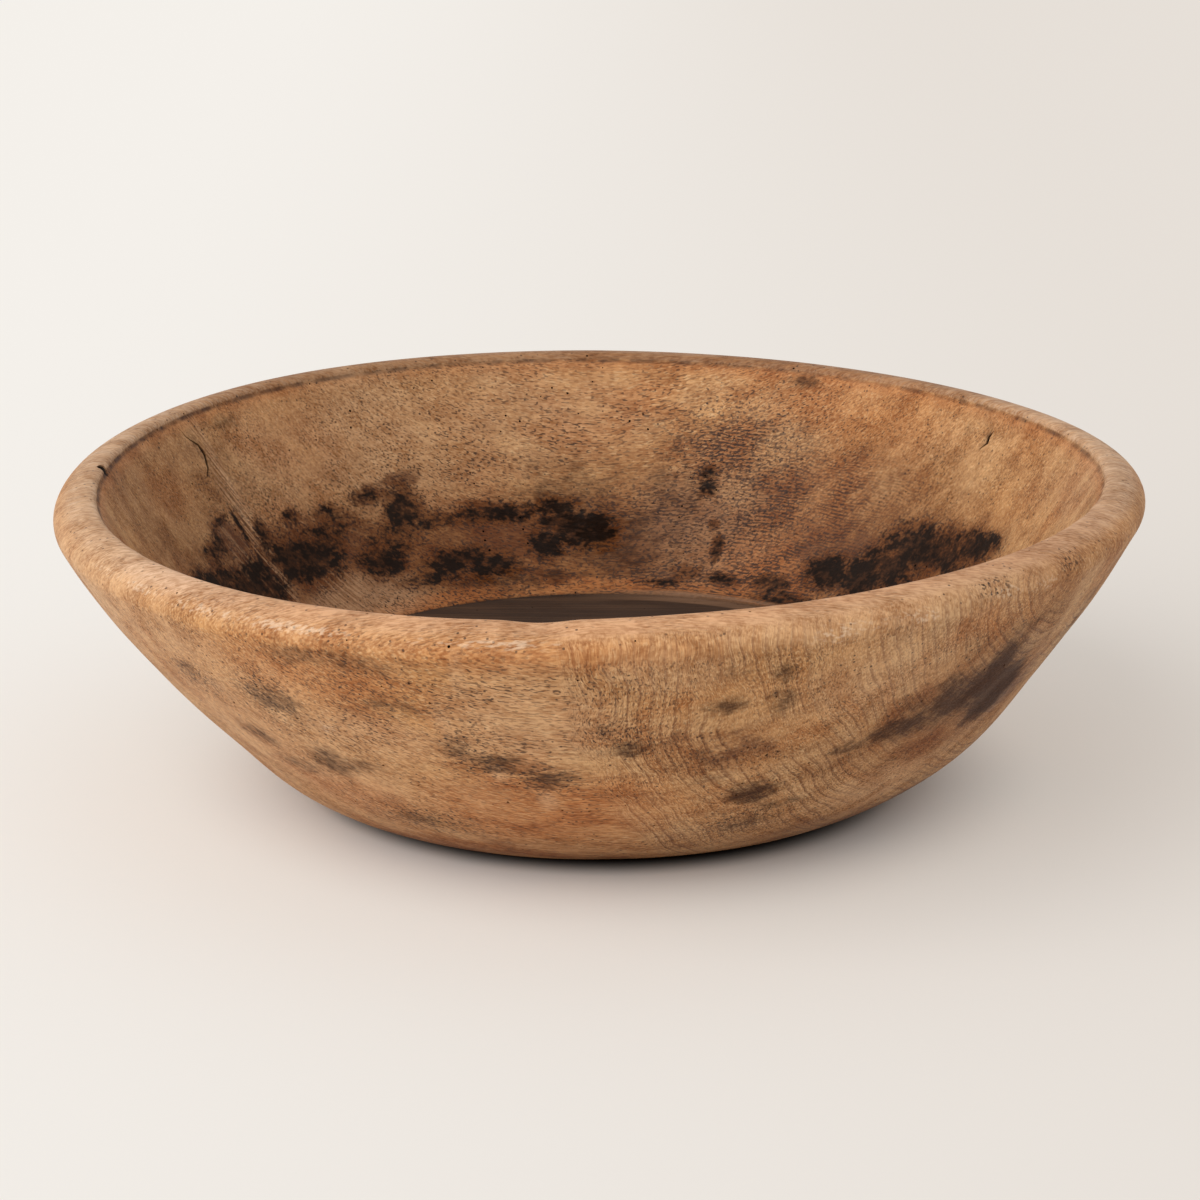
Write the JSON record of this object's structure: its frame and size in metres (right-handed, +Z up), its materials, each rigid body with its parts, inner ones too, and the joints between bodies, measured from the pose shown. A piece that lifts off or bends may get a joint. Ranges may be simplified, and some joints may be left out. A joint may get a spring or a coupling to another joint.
{
  "type": "dough bowl",
  "caption": "Wide round wooden dough bowl with sloping walls, a thick rolled rim, a flat floor and a flat foot, turned from one solid block.",
  "frame": {"origin": "centre of the turned bottom, on the flat foot's face that rests on the bench", "axes": "+Z up out of the bowl's mouth, front towards -Y, the wood's fibres along X"},
  "size_m": [0.4499, 0.45, 0.1348],
  "materials": {
    "wood": "old bare hardwood, worn smooth, darkened and stained inside, with beetle holes"
  },
  "bodies": {
    "root": {"bowl": "wood"}
  },
  "joints": []
}
